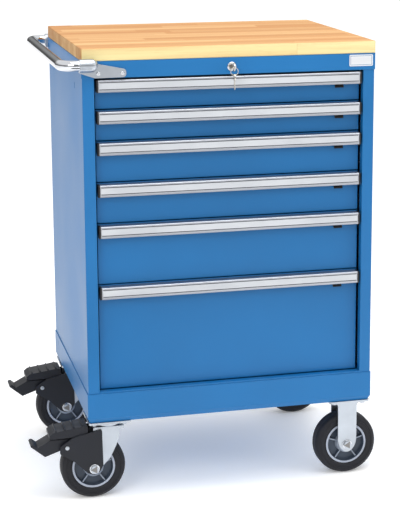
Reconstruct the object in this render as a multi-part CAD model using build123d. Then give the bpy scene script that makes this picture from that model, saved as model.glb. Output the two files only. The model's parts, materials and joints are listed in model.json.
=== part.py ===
from build123d import *
import os

os.makedirs("parts", exist_ok=True)

# ---------------------------------------------------------------- driving dimensions (mm)
cabinet_width = 717.5
cabinet_depth = 571.5
drawer_pitches = (75.0, 75.0, 100.0, 100.0, 150.0, 263.0)
sheet = 1.5                   # housing sheet metal
running_gap = 0.4             # between pieces that move past each other

cover_sheet = 1.7
cover_front_height = 40.0
cover_skirt_height = 14.0
cover_seam = 2.0              # between the fascia and the first drawer
sill_height = 4.0             # closed strip under the lowest drawer

post_width = 28.0             # front face of each corner post
post_return = 18.0
rear_flange = 20.0

worktop_thickness = 30.0
worktop_edge = 2.5

base_height = 74.0
base_overhang = 2.0
base_wall = 2.5
base_bevel_height = 12.0
base_bevel_depth = 6.0

front_gap = 4.5               # drawer front to post
front_seam = 3.0              # between two drawer fronts
front_recess = 20.0           # drawer front behind the post face
front_pan_depth = 12.0
drawer_sheet = 1.2
tray_rim = 5.0
tray_rear_gap = 28.5          # tray to back panel
tray_floor_lift = 6.0
tray_wall_drop = 20.0         # rim of the tray under the next drawer

handle_height = 29.0
handle_depth = 24.0
handle_wall = 2.2
handle_cap = 4.0

rail_height = 29.0            # slide members, outside
rail_sheet = 2.0
rail_lift = 30.0              # middle of a slide above its drawer's lower edge
roller_width = 9.0
upright_width = 30.0
upright_depth = 11.5

latch_width = 22.0
latch_inset = 54.0            # middle of the latch from the handle's right end
latch_length = 28.0
latch_thickness = 3.0
latch_pin_drop = 8.0

lock_ring_radius = 11.0
lock_body_radius = 9.0
lock_body_length = 20.0
cam_reach = 14.0
cam_thickness = 2.5
lock_bar_thickness = 3.0
lock_bar_height = 10.0
plug_radius = 6.0
key_thickness = 2.0
key_stand_off = 21.0          # middle of the key's bow in front of the fascia
key_bow_radius = 10.0
key_ring_radius = 9.0
key_ring_wire = 0.8

tube_radius = 12.7
tube_reach = 48.0             # tube axis outside the cabinet's side
tube_bend = 36.0
tube_drop = 8.0               # tube axis under the top of the cover
plate_thickness = 3.0
plate_length = 104.0
socket_wall = 3.0
socket_length = 28.0
tube_wall = 1.6
screw_radius = 2.5
screw_head_radius = 5.0
screw_end = 1.0               # screw tip behind the cover's sheet

badge_width = 60.0
badge_height = 28.0
badge_thickness = 0.8
badge_inset = 5.0

caster_height = 202.0
caster_inset_x = 52.0         # swivel axis from the cabinet's side
caster_inset_y = 50.0
caster_plate_x = 104.0
caster_plate_y = 100.0
caster_plate_thickness = 5.0
caster_bolt_x = 74.0
caster_bolt_y = 70.0
caster_bolt_radius = 4.0
trail = 38.0
wheel_radius = 80.0
wheel_width = 48.0
rim_radius = 53.0
axle_radius = 6.0
hub_radius = 26.0
web_half = 9.0                # half the wheel web's thickness
wheel_ribs = 5
pin_gap = 0.05                # radial, for shafts that turn in a bore
fork_sheet = 4.0
fork_gap = 3.0                # wheel side to fork leg
race_radius = 34.0
race_height = 12.0
kingpin_radius = 8.0
crown_reach = 38.0
fork_heel = 28.0              # fork leg ahead of the swivel axis
brake_wall = 4.0
pedal_pin_radius = 4.0
pedal_half_width = 24.0
pedal_wall = 2.5
hood_inner = 27.0             # half the hood's inner width
hood_drop = 12.0              # brake hood under the caster plate
rigid_leg_width = 49.0
rigid_tip_rise = 18.0         # straight edge of a rigid leg ends this far above the axle
rigid_tip_length = 38.0

# ---------------------------------------------------------------- levels and edges
half_width = cabinet_width / 2
half_depth = cabinet_depth / 2
front_y = -half_depth
base_bottom = caster_height
base_top = base_bottom + base_height
drawers_bottom = base_top + sill_height
drawers_top = drawers_bottom + sum(drawer_pitches)
housing_top = drawers_top + cover_seam + cover_front_height
worktop_top = housing_top + worktop_thickness

opening_half = half_width - post_width
front_half = opening_half - front_gap
panel_y = front_y + front_recess
tray_front_y = panel_y + front_pan_depth
tray_rear_y = half_depth - 2 * sheet - tray_rear_gap
upright_x = half_width - sheet - upright_depth
rail_outer_x = upright_x
rail_inner_x = rail_outer_x - rail_sheet - roller_width - 2
carriage_outer_x = opening_half - sheet - running_gap
carriage_inner_x = carriage_outer_x - rail_sheet - roller_width - 2
tray_half = carriage_inner_x - running_gap - 9
roller_radius = rail_height / 2 - rail_sheet - running_gap
rail_front_y = front_y + post_return + 12
rail_rear_y = half_depth - 3 * sheet - 6
handle_front_y = panel_y - handle_depth

caster_x = half_width - caster_inset_x
caster_y = half_depth - caster_inset_y
fork_inner = wheel_width / 2 + fork_gap
fork_outer = fork_inner + fork_sheet
crown_top = base_bottom - caster_plate_thickness - race_height
lock_z = housing_top - cover_front_height * 0.55
lock_front_y = front_y - cover_sheet
tube_z = housing_top - tube_drop
tube_x = -half_width - tube_reach
tube_front_y = front_y - cover_sheet - plate_thickness - tube_radius
tube_rear_y = half_depth + cover_sheet + plate_thickness + tube_radius


# ---------------------------------------------------------------- small building blocks
def block(x0, x1, y0, y1, z0, z1):
    """Box between two corners."""
    middle = ((x0 + x1) / 2, (y0 + y1) / 2, (z0 + z1) / 2)
    return Pos(*middle) * Box(x1 - x0, y1 - y0, z1 - z0)


def outline(points, radius=0):
    """Closed flat face through points, its corners rounded."""
    face = make_face(Polyline(*points, close=True))
    return fillet(face.vertices(), radius) if radius else face


def along_x(face, x0, x1):
    """Prism of a face drawn in (y, z)."""
    return extrude(Plane.YZ.offset(x0) * face, amount=x1 - x0)


def along_y(face, y0, y1):
    """Prism of a face drawn in (x, z)."""
    return extrude(Plane.XZ.offset(-y1) * face, amount=y1 - y0)


def along_z(face, z0, z1):
    """Prism of a face drawn in (x, y)."""
    return extrude(Plane.XY.offset(z0) * face, amount=z1 - z0)


def rod_x(x0, x1, y, z, radius):
    return along_x(Pos(y, z) * Circle(radius), x0, x1)


def rod_y(y0, y1, x, z, radius):
    return along_y(Pos(x, z) * Circle(radius), y0, y1)


def rod_z(z0, z1, x, y, radius):
    return along_z(Pos(x, y) * Circle(radius), z0, z1)


def hexagon(radius):
    return RegularPolygon(radius, 6)


def slot_x(x0, x1, y, z, length, width):
    """Upright oblong cutter through a side wall."""
    return along_x(Pos(y, z) * Rot(0, 0, 90) * SlotOverall(length, width), x0, x1)


def mirrored_x(solid):
    return mirror(solid, about=Plane.YZ)


def mirrored_y(solid):
    return mirror(solid, about=Plane.XZ)


def drawer_bottom(number):
    """Lower edge of a drawer's slot, drawer 1 being the top one."""
    return drawers_top - sum(drawer_pitches[:number])


# ---------------------------------------------------------------- housing
def worktop():
    reach = half_width + cover_sheet
    slab = block(-reach, reach, front_y - cover_sheet, half_depth + cover_sheet,
                 housing_top, worktop_top)
    return [fillet(slab.edges(), worktop_edge)]


def top_cover():
    """Lid, front fascia, rear fascia and two side skirts."""
    reach = half_width + cover_sheet
    depth = half_depth + cover_sheet
    low = housing_top - cover_front_height
    under = housing_top - cover_sheet
    corner = cover_sheet - 0.2
    lid = along_z(RectangleRounded(2 * reach, 2 * depth, corner), under, housing_top)
    fascia = block(-reach, reach, -depth, -half_depth, low, under)
    ends = fascia.edges().filter_by(Axis.Z).group_by(Axis.Y)[0]
    fascia = fillet(ends, corner)
    for x, z in screw_places():
        fascia -= rod_y(-depth - 1, front_y + 1, x, z, screw_radius)
    skirt = block(-reach, -half_width, -half_depth, half_depth,
                  housing_top - cover_skirt_height, under)
    bored = fascia - rod_y(-depth - 1, front_y + 1, 0, lock_z, lock_body_radius)
    return [lid, bored, mirrored_y(fascia), skirt, mirrored_x(skirt)]


def side_panel():
    """Left side: wall, front corner post with its return, rear flange."""
    z0 = base_top
    z1 = housing_top - cover_sheet
    x0 = -half_width
    post_x = x0 + post_width
    wall = block(x0, x0 + sheet, -half_depth, half_depth, z0, z1)
    wall += block(x0, post_x, front_y, front_y + sheet, z0, z1)
    wall += block(post_x - sheet, post_x, front_y, front_y + post_return, z0, drawers_top)
    wall += block(x0, x0 + rear_flange, half_depth - sheet, half_depth, z0, z1)
    corners = [e for e in wall.edges().filter_by(Axis.Z) if abs(e.center().X - x0) < 0.1]
    wall = fillet(corners, sheet)
    for y in (front_y + 120, half_depth - 90):
        wall -= slot_x(x0 - 1, x0 + sheet + 1, y, housing_top - 70, 16, 4)
    return wall


def back_panel():
    reach = half_width - sheet
    return [block(-reach, reach, half_depth - 2 * sheet, half_depth - sheet,
                  base_top + sheet, housing_top - cover_sheet)]


def bottom_panel():
    reach = half_width - sheet
    floor = block(-reach, reach, front_y + sheet, half_depth - 2 * sheet,
                  base_top, base_top + sheet)
    floor += block(-opening_half, opening_half, front_y, front_y + sheet,
                   base_top, drawers_bottom)
    floor += block(-opening_half, opening_half, front_y + sheet, front_y + post_return,
                   drawers_bottom - sheet, drawers_bottom)
    for side in (-1, 1):
        return_x = side * (opening_half + sheet / 2)
        floor -= block(return_x - sheet / 2, return_x + sheet / 2, front_y, front_y + post_return,
                       base_top, drawers_bottom)
    return [floor]


def slide_uprights():
    """Four slotted channels that the slides hook into."""
    solids = []
    z0 = base_top + sheet
    z1 = drawers_top
    x0 = -half_width + sheet
    for y in (rail_front_y + 30, rail_rear_y - 60):
        channel = block(x0, x0 + upright_depth, y, y + upright_width, z0, z1)
        channel -= block(x0, x0 + upright_depth - sheet, y + sheet, y + upright_width - sheet, z0, z1)
        slot_z = z0 + 20
        while slot_z < z1 - 15:
            channel -= slot_x(x0, x0 + upright_depth + 1, y + upright_width / 2, slot_z, 14, 5)
            slot_z += 25
        solids += [channel, mirrored_x(channel)]
    return solids


def cabinet_rails():
    """Fixed C members, a pair for each drawer."""
    solids = []
    for number in range(1, len(drawer_pitches) + 1):
        z = drawer_bottom(number) + rail_lift
        rail = c_channel(-rail_outer_x, -rail_inner_x, rail_front_y, rail_rear_y, z)
        solids += [rail, mirrored_x(rail)]
    return solids


def c_channel(web_x, lip_x, y0, y1, z):
    """C section with its web at web_x, open towards lip_x."""
    half = rail_height / 2
    step = rail_sheet if lip_x > web_x else -rail_sheet
    solid = block(min(web_x, lip_x), max(web_x, lip_x), y0, y1, z - half, z + half)
    inner = block(min(web_x + step, lip_x), max(web_x + step, lip_x), y0, y1,
                  z - half + rail_sheet, z + half - rail_sheet)
    return solid - inner


def mobile_base():
    """Plinth pan with a bevelled lower edge, open at the top under the housing floor."""
    x = half_width + base_overhang
    y = half_depth + base_overhang
    bevel_top = base_bottom + base_bevel_height
    wide = RectangleRounded(2 * x, 2 * y, 3)
    narrow = RectangleRounded(2 * (x - base_bevel_depth), 2 * (y - base_bevel_depth), 3)
    body = along_z(wide, bevel_top, base_top)
    body += loft([Plane.XY.offset(base_bottom) * narrow, Plane.XY.offset(bevel_top) * wide])
    inner_x = x - base_bevel_depth - base_wall
    inner_y = y - base_bevel_depth - base_wall
    body -= block(-inner_x, inner_x, -inner_y, inner_y, base_bottom + base_wall, base_top)
    body -= slot_x(-x - 1, -inner_x + 1, half_depth - 60, base_top - 20, 14, 4)
    for cx in (-caster_x, caster_x):
        for cy in (-caster_y, caster_y):
            for bolt_x, bolt_y in bolt_places(cx, cy):
                body -= rod_z(base_bottom - 1, base_bottom + base_wall + 1, bolt_x, bolt_y,
                              caster_bolt_radius)
    return [body]


# ---------------------------------------------------------------- drawers
def drawer_front(z0, z1):
    """Front pan: a face plate with four welded returns behind it."""
    back_y = panel_y + sheet
    y1 = panel_y + front_pan_depth
    plate = block(-front_half, front_half, panel_y, back_y, z0, z1)
    plate = fillet(plate.faces().sort_by(Axis.Y)[0].edges(), 0.8 * sheet)
    upright = block(-front_half, -front_half + sheet, back_y, y1, z0, z1)
    low = block(-front_half + sheet, front_half - sheet, back_y, y1, z0, z0 + sheet)
    high = block(-front_half + sheet, front_half - sheet, back_y, y1, z1 - sheet, z1)
    return [plate, upright, mirrored_x(upright), low, high]


def drawer_tray(z0, z1):
    """Open box of welded plates behind the front, with a rim along its sides and back."""
    t = drawer_sheet
    floor = block(-tray_half, tray_half, tray_front_y, tray_rear_y, z0, z0 + t)
    near = block(-tray_half + t, tray_half - t, tray_front_y, tray_front_y + t, z0 + t, z1)
    far = block(-tray_half + t, tray_half - t, tray_rear_y - t, tray_rear_y, z0 + t, z1)
    side = block(-tray_half, -tray_half + t, tray_front_y, tray_rear_y, z0 + t, z1)
    side_rim = block(-tray_half + t, -tray_half + tray_rim, tray_front_y + t, tray_rear_y - t,
                     z1 - t, z1)
    far_rim = block(-tray_half + tray_rim, tray_half - tray_rim, tray_rear_y - tray_rim,
                    tray_rear_y - t, z1 - t, z1)
    return [floor, near, far, side, mirrored_x(side), side_rim, mirrored_x(side_rim), far_rim]


def tray_runner(z):
    """Bar on the tray's left side with a roller at its rear end."""
    bar_x = -tray_half - 3
    wheel_x = bar_x - running_gap - 5
    roller_y = tray_rear_y - 20
    bar = block(bar_x, -tray_half, tray_front_y + 6, tray_rear_y - 4, z - 9, z + 9)
    bar += rod_x(-carriage_outer_x + rail_sheet + 0.8, bar_x, roller_y, z, 3)
    wheel = rod_x(-carriage_outer_x + rail_sheet + 1.2, wheel_x + 4, roller_y, z, roller_radius)
    return bar + wheel


def drawer_parts(number):
    z0 = drawer_bottom(number)
    z1 = z0 + drawer_pitches[number - 1]
    slide_z = z0 + rail_lift
    runner = tray_runner(slide_z)
    tray = drawer_tray(z0 + tray_floor_lift, z1 - tray_wall_drop)
    front = drawer_front(z0 + front_seam / 2, z1 - front_seam / 2)
    return tray + front + [runner, mirrored_x(runner)]


def handle_profile(top):
    """Section of the full-width pull: leg on the drawer, shelf, and a face with label lips."""
    back = panel_y
    nose = handle_front_y
    face_back = nose + handle_wall + 1.2
    low = top - handle_height
    points = [
        (back, top), (nose + 1.5, top), (nose, top - 1.5), (nose, top - 4.5),
        (nose + 1.2, top - 4.5), (nose + 1.2, low + 6), (nose, low + 6), (nose, low + 1.5),
        (nose + 1.5, low), (face_back + 2.5, low), (face_back + 2.5, low + handle_wall),
        (face_back, low + handle_wall), (face_back, top - handle_wall),
        (back - handle_wall, top - handle_wall), (back - handle_wall, top - 16),
        (back, top - 16),
    ]
    return outline(points)


def drawer_handle(number):
    top = drawer_bottom(number) + drawer_pitches[number - 1] - front_seam
    reach = front_half - 1
    bar = along_x(handle_profile(top), -reach + handle_cap, reach - handle_cap)
    cap_face = outline([(panel_y, top), (handle_front_y, top), (handle_front_y, top - handle_height),
                        (panel_y - 6, top - handle_height), (panel_y, top - 16)], 1.5)
    cap = along_x(cap_face, -reach, -reach + handle_cap)
    return [bar, cap, mirrored_x(cap)]


def latch_place(number):
    """Middle X, pin Y and pin Z of a drawer's latch."""
    top = drawer_bottom(number) + drawer_pitches[number - 1] - front_seam
    return (front_half - latch_inset, panel_y - handle_wall - 4.5, top - handle_wall - latch_pin_drop)


def drawer_latch(number):
    x, y, z = latch_place(number)
    half = latch_width / 2
    t = latch_thickness / 2
    blade = outline([(y - t, z + 3), (y + t, z + 3), (y + t, z - latch_length + 9),
                     (y + t - 5, z - latch_length), (y - t - 5, z - latch_length),
                     (y - t, z - latch_length + 9)])
    flap = along_x(blade, x - half, x + half)
    flap += rod_x(x - half - 3, x + half + 3, y, z, 2.4)
    return [flap]


def drawer_carriages(number):
    """Middle members of a drawer's slides, with their rear rollers."""
    z = drawer_bottom(number) + rail_lift
    y0 = tray_front_y + 4
    y1 = tray_rear_y - 4
    member = c_channel(-carriage_outer_x, -carriage_inner_x, y0, y1, z)
    roller_y = y1 - 16
    member += rod_x(-rail_outer_x + rail_sheet + 0.8, -carriage_outer_x, roller_y, z, 3)
    member += rod_x(-rail_outer_x + rail_sheet + 1.2, -rail_inner_x - 1, roller_y, z, roller_radius)
    return [member, mirrored_x(member)]


# ---------------------------------------------------------------- lock
def lock_cylinder():
    ring = rod_y(lock_front_y - 2.5, lock_front_y, 0, lock_z, lock_ring_radius)
    ring = chamfer(ring.edges().sort_by(Axis.Y)[0], 1)
    body = rod_y(lock_front_y, lock_front_y + lock_body_length, 0, lock_z, lock_body_radius)
    bore = rod_y(lock_front_y - 3, lock_front_y + lock_body_length + 1, 0, lock_z,
                 plug_radius + pin_gap)
    return [ring + body - bore]


def lock_plug():
    """Turning core with the cam at its rear end."""
    cam_y = lock_front_y + lock_body_length + running_gap
    core = rod_y(lock_front_y - 2, cam_y, 0, lock_z, plug_radius)
    cam = block(-5, 5, cam_y, cam_y + cam_thickness, lock_z - cam_reach, lock_z + 6)
    keyway = block(-key_thickness / 2, key_thickness / 2, lock_front_y - 3, cam_y - 2,
                   lock_z - 4, lock_z + 4)
    return [core + cam - keyway]


def key_head(y, z, radius, hole_y, hole_z):
    """Round bow standing in the YZ plane, with a hole for the ring."""
    head = Pos(y, z) * Circle(radius) - Pos(hole_y, hole_z) * Circle(2.6)
    return along_x(head, -key_thickness / 2, key_thickness / 2)


def key():
    bow_y = lock_front_y - key_stand_off
    hole_y = bow_y - key_bow_radius / 2
    blade = block(-key_thickness / 2, key_thickness / 2, bow_y + key_bow_radius - 2,
                  lock_front_y + lock_body_length - 2, lock_z - 3.6, lock_z + 3.6)
    return [blade + key_head(bow_y, lock_z, key_bow_radius, hole_y, lock_z)]


def spare_key():
    """Second key hanging from the first one's bow on a split ring."""
    y = lock_front_y - key_stand_off - key_bow_radius / 2
    centre_z = lock_z - key_ring_radius
    ring = Pos(0, y, centre_z) * Rot(90, 0, 0) * Torus(key_ring_radius, key_ring_wire)
    hole_z = centre_z - key_ring_radius
    bow_z = hole_z - 5.5
    head = key_head(y, bow_z, 9, y, hole_z)
    blade = block(-key_thickness / 2, key_thickness / 2, y - 3.2, y + 3.2, bow_z - 28, bow_z - 7)
    return [ring, head + blade]


def lock_bar():
    """Sliding bolt: an arm behind the fascia and a strip beside the drawers."""
    y0 = lock_front_y + lock_body_length + 2 * running_gap + cam_thickness
    y1 = y0 + lock_bar_thickness
    strip_x = opening_half + 1.5
    arm_top = lock_z - 6
    arm = block(-20, strip_x + 6, y0, y1, arm_top - lock_bar_height, arm_top)
    strip = block(strip_x, strip_x + 6, y0, y1, base_top + 10, arm_top)
    return [arm + strip]


# ---------------------------------------------------------------- badge and push handle
def badge_plate():
    x1 = half_width - badge_inset
    face = RectangleRounded(badge_width, badge_height, 3)
    middle = Pos(x1 - badge_width / 2, housing_top - 3 - badge_height / 2)
    return [along_y(middle * face, lock_front_y - badge_thickness, lock_front_y)]


def screw_places():
    """X and Z of the two screws in a handle bracket."""
    left = -half_width
    return ((left + 38, housing_top - 29), (left + plate_length - 9, housing_top - 29))


def handle_bracket():
    """Cast plate on the fascia with a socket for the tube's front end."""
    left = -half_width
    top = housing_top
    low = top - cover_front_height + 0.5
    y1 = lock_front_y
    y0 = y1 - plate_thickness
    shape = outline([(left - 9, top - 1), (left + 12, top - 1), (left + plate_length, top - 20),
                     (left + plate_length, low + 0.8), (left + 30, low), (left - 9, top - 26)], 8)
    plate = along_y(shape, y0, y1)
    socket_x = left - 8
    plate += rod_x(socket_x, socket_x + socket_length, tube_front_y, tube_z,
                   tube_radius + socket_wall)
    plate += Pos(socket_x + socket_length, tube_front_y, tube_z) * Sphere(tube_radius + socket_wall)
    plate -= rod_x(socket_x, socket_x + socket_length - 4, tube_front_y, tube_z, tube_radius)
    for x, z in screw_places():
        plate -= rod_y(y0 - 1, y1 + 1, x, z, screw_radius)
    return plate


def push_handle_brackets():
    front = handle_bracket()
    return [front, mirrored_y(front)]


def push_handle_tube():
    end_x = -half_width - 8 + socket_length - 4
    corners = [(end_x, tube_front_y, tube_z), (tube_x, tube_front_y, tube_z),
               (tube_x, tube_rear_y, tube_z), (end_x, tube_rear_y, tube_z)]
    route = FilletPolyline(*corners, radius=tube_bend)
    ring = Circle(tube_radius) - Circle(tube_radius - tube_wall)
    start = Plane(origin=route @ 0, z_dir=route % 0)
    return [sweep(start * ring, path=route)]


def bracket_screws():
    """Pan-head screws with a cross recess."""
    solids = []
    face_y = lock_front_y - plate_thickness
    for x, z in screw_places():
        screw = rod_y(face_y, front_y + screw_end, x, z, screw_radius)
        head = rod_y(face_y - 3, face_y, x, z, screw_head_radius)
        head = fillet(head.edges().sort_by(Axis.Y)[0], 1.6)
        head -= block(x - 3, x + 3, face_y - 3.2, face_y - 1.5, z - 0.6, z + 0.6)
        head -= block(x - 0.6, x + 0.6, face_y - 3.2, face_y - 1.5, z - 3, z + 3)
        solids += [screw + head, mirrored_y(screw + head)]
    return solids


# ---------------------------------------------------------------- casters
def bolt_places(cx, cy):
    return [(cx + sx * caster_bolt_x / 2, cy + sy * caster_bolt_y / 2)
            for sx in (-1, 1) for sy in (-1, 1)]


def top_plate(cx, cy):
    z0 = base_bottom - caster_plate_thickness
    plate = along_z(Pos(cx, cy) * RectangleRounded(caster_plate_x, caster_plate_y, 6),
                    z0, base_bottom)
    for x, y in bolt_places(cx, cy):
        plate -= rod_z(z0 - 1, base_bottom + 1, x, y, caster_bolt_radius)
    return plate


def swivel_plate(cx, cy):
    """Top plate, ball race and kingpin with its nut."""
    race_bottom = crown_top
    nut_top = crown_top - running_gap - fork_sheet - running_gap
    plate = top_plate(cx, cy)
    race = rod_z(race_bottom, base_bottom - caster_plate_thickness, cx, cy, race_radius)
    race = chamfer(race.edges().sort_by(Axis.Z)[0], 2)
    plate += race
    plate += rod_z(nut_top, race_bottom, cx, cy, kingpin_radius)
    plate += along_z(Pos(cx, cy) * hexagon(13), nut_top - 8, nut_top)
    return plate


def swivel_plates():
    return [swivel_plate(-caster_x, side * caster_y) for side in (-1, 1)]


def axle_bolt(wx, cy, reach):
    """Axle with a hexagon head in front and a nut behind."""
    z = wheel_radius
    bolt = rod_y(cy - reach, cy + reach, wx, z, axle_radius)
    bolt += along_y(Pos(wx, z) * hexagon(11), cy - reach - 7, cy - reach)
    bolt += along_y(Pos(wx, z) * hexagon(11), cy + reach, cy + reach + 7)
    return bolt


def swivel_fork(cy):
    """Pressed fork behind the swivel axis, with its axle bolt."""
    cx = -caster_x
    wx = cx - trail
    z = wheel_radius
    top = crown_top - running_gap
    shoulder = top - fork_sheet - 3
    leg = outline([(cx + crown_reach, top), (cx - crown_reach, top), (wx - 17, z + 4),
                   (wx - 10, z - 13), (wx + 10, z - 13), (wx + 19, z + 2), (wx + 40, z + 24),
                   (cx + fork_heel - 10, z + 57), (cx + fork_heel - 2, z + 85),
                   (cx + fork_heel, shoulder), (cx + crown_reach, shoulder)], 1.5)
    fork = along_y(leg, cy - fork_outer, cy + fork_outer)
    fork -= block(cx - 120, cx + 120, cy - fork_inner, cy + fork_inner, 0, top - fork_sheet)
    fork -= rod_z(top - fork_sheet - 1, top + 1, cx, cy, kingpin_radius + pin_gap)
    fork -= rod_y(cy - fork_outer - 1, cy + fork_outer + 1, wx, z, axle_radius)
    return [fork, axle_bolt(wx, cy, fork_outer + brake_wall)]


def pedal_pin_place():
    """X and Z of the pedal's pin from the wheel's middle, clear of the tyre."""
    return (-66, max(60, wheel_radius - 20))


def brake_cheek():
    """Outline of the brake cover's cheeks, around the wheel's middle."""
    px, pz = pedal_pin_place()
    return outline([(px - 18, pz - 14), (px - 16, pz + 4), (px + 14, pz + 24), (20, pz + 40),
                    (22, 8), (13, -8), (-2, -15), (-17, -9), (-48, 22)], 4)


def brake_housing(cy):
    """Two cheeks outside the fork's legs, joined by a hood over the pedal's root."""
    wx = -caster_x - trail
    z = wheel_radius
    outer = fork_outer + brake_wall
    px, pz = pedal_pin_place()
    hood_top = base_bottom - hood_drop - z
    plates = along_y(Pos(wx, z) * brake_cheek(), cy - outer, cy + outer)
    plates -= along_y(Pos(wx, z) * Rectangle(400, 400), cy - fork_outer, cy + fork_outer)
    hood = outline([(px - 42, pz + 23), (px - 42, pz + 32), (px - 32, pz + 40),
                    (-24, hood_top), (-14, hood_top - 2), (-14, pz + 24), (px + 22, pz + 20),
                    (px + 18, pz + 24)], 1)
    hollow = outline([(px - 38, pz), (px - 38, pz + 30), (px - 30, pz + 36),
                      (-26, hood_top - 4), (-18, hood_top - 6), (-18, pz)])
    roof = along_y(Pos(wx, z) * hood, cy - fork_outer, cy + fork_outer)
    roof -= along_y(Pos(wx, z) * hollow, cy - hood_inner, cy + hood_inner)
    cover = plates + roof
    cover -= rod_y(cy - outer - 1, cy + outer + 1, wx + px, z + pz, pedal_pin_radius + pin_gap)
    return [cover - rod_y(cy - outer - 1, cy + outer + 1, wx, z, axle_radius)]


def brake_pedal(cy):
    """Channel-shaped foot pedal on its cross pin, with an upturned tip."""
    wx = -caster_x - trail
    z = wheel_radius
    px, pz = pedal_pin_place()
    pedal_place = Pos(wx + px, z + pz)
    side = outline([(8, -4), (-18, -10), (-53, -22), (-58, -18), (-88, 7), (-85, 11), (-80, 11),
                    (-70, 3), (-40, 19), (8, 19)], 1)
    inside = outline([(9, -30), (9, 19 - pedal_wall), (-39, 19 - pedal_wall),
                      (-68, 1), (-55, -12), (-50, -30)])
    half = pedal_half_width
    pedal = along_y(pedal_place * side, cy - half, cy + half)
    pedal -= along_y(pedal_place * inside, cy - half + pedal_wall, cy + half - pedal_wall)
    outer = fork_outer + brake_wall
    return [pedal + rod_y(cy - outer - 1, cy + outer + 1, wx + px, z + pz, pedal_pin_radius)]


def rigid_fork(cy):
    """Fixed fork under its top plate, with its axle bolt."""
    cx = caster_x
    z1 = base_bottom - caster_plate_thickness
    half = rigid_leg_width / 2
    tip_z = wheel_radius + rigid_tip_rise
    leg = outline([(cx - half - 8, z1), (cx - half, z1 - 14), (cx - half, tip_z),
                   (cx + half, tip_z), (cx + half, z1 - 14), (cx + half + 8, z1)])
    leg += Pos(cx, tip_z) * Ellipse(half, rigid_tip_length)
    fork = along_y(leg, cy - fork_outer, cy + fork_outer)
    fork -= block(cx - 60, cx + 60, cy - fork_inner, cy + fork_inner, 0, z1 - fork_sheet)
    fork -= rod_y(cy - fork_outer - 1, cy + fork_outer + 1, cx, wheel_radius, axle_radius)
    return [fork + top_plate(cx, cy), axle_bolt(cx, cy, fork_outer)]


def rigid_forks():
    return rigid_fork(-caster_y) + rigid_fork(caster_y)


def caster_bolts():
    """Hexagon bolts through the caster plates into the base."""
    solids = []
    head_top = base_bottom - caster_plate_thickness
    for cx in (-caster_x, caster_x):
        for cy in (-caster_y, caster_y):
            for x, y in bolt_places(cx, cy):
                bolt = along_z(Pos(x, y) * hexagon(7.5), head_top - 5.5, head_top)
                bolt += rod_z(head_top, base_bottom + base_wall + 9, x, y, caster_bolt_radius)
                bolt += along_z(Pos(x, y) * hexagon(7.5), base_bottom + base_wall,
                                base_bottom + base_wall + 6.5)
                solids.append(bolt)
    return solids


def wheel_places():
    """Middle of each wheel, by name."""
    swivel_x = -caster_x - trail
    return {
        "front_left": (swivel_x, -caster_y, wheel_radius),
        "rear_left": (swivel_x, caster_y, wheel_radius),
        "front_right": (caster_x, -caster_y, wheel_radius),
        "rear_right": (caster_x, caster_y, wheel_radius),
    }


def turned(points, radius=0):
    """Solid of revolution about Y, from (radius, y) points."""
    return revolve(outline(points, radius), axis=Axis.Y)


def tyre():
    """Solid tyre with rounded shoulders."""
    half = wheel_width / 2
    height = wheel_radius - rim_radius
    section = [(rim_radius, -half + 4), (rim_radius + 0.2 * height, -half + 1),
               (wheel_radius - 0.35 * height, -half), (wheel_radius - 0.1 * height, -half + 5),
               (wheel_radius, -half + 13), (wheel_radius, half - 13),
               (wheel_radius - 0.1 * height, half - 5), (wheel_radius - 0.35 * height, half),
               (rim_radius + 0.2 * height, half - 1), (rim_radius, half - 4)]
    return turned(section, 0.05 * height)


def wheel_core():
    """Hub, ribbed web and rim."""
    hub = fork_inner - 0.5
    rim = wheel_width / 2 - 3
    bore = axle_radius + pin_gap
    lip = rim_radius - 5
    section = [(bore, -hub), (18, -hub), (hub_radius - 2, -rim), (hub_radius, -web_half),
               (lip - 2, -web_half), (lip, -rim), (rim_radius, -rim), (rim_radius, rim),
               (lip, rim), (lip - 2, web_half), (hub_radius, web_half), (hub_radius - 2, rim),
               (18, hub), (bore, hub)]
    core = turned(section)
    for step in range(wheel_ribs):
        rib = block(hub_radius - 3, lip - 1, -rim + 4, rim - 4, -1.6, 1.6)
        core += Rot(0, step * 360 / wheel_ribs + 54, 0) * rib
    return core


# ---------------------------------------------------------------- the whole cabinet
def all_nodes():
    """Every sub-part's solids by node name, with the floor at z = 0."""
    left_side = side_panel()
    nodes = {
        "worktop": worktop(),
        "top_cover": top_cover(),
        "left_side_panel": [left_side],
        "right_side_panel": [mirrored_x(left_side)],
        "back_panel": back_panel(),
        "bottom_panel": bottom_panel(),
        "slide_uprights": slide_uprights(),
        "cabinet_rails": cabinet_rails(),
        "mobile_base": mobile_base(),
        "lock_cylinder": lock_cylinder(),
        "lock_plug": lock_plug(),
        "key": key(),
        "spare_key": spare_key(),
        "lock_bar": lock_bar(),
        "badge_plate": badge_plate(),
        "push_handle_brackets": push_handle_brackets(),
        "push_handle_tube": push_handle_tube(),
        "bracket_screws": bracket_screws(),
        "swivel_plates": swivel_plates(),
        "rigid_forks": rigid_forks(),
        "caster_bolts": caster_bolts(),
    }
    for name, cy in (("front_left", -caster_y), ("rear_left", caster_y)):
        nodes["swivel_fork_" + name] = swivel_fork(cy)
        nodes["brake_housing_" + name] = brake_housing(cy)
        nodes["brake_pedal_" + name] = brake_pedal(cy)
    one_tyre = tyre()
    one_core = wheel_core()
    for name, place in wheel_places().items():
        nodes["tyre_" + name] = [Pos(*place) * one_tyre]
        nodes["wheel_core_" + name] = [Pos(*place) * one_core]
    for number in range(1, len(drawer_pitches) + 1):
        nodes[f"drawer_{number}_tray"] = drawer_parts(number)
        nodes[f"drawer_{number}_handle"] = drawer_handle(number)
        nodes[f"drawer_{number}_latch"] = drawer_latch(number)
        nodes[f"drawer_{number}_carriages"] = drawer_carriages(number)
    return nodes


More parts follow.
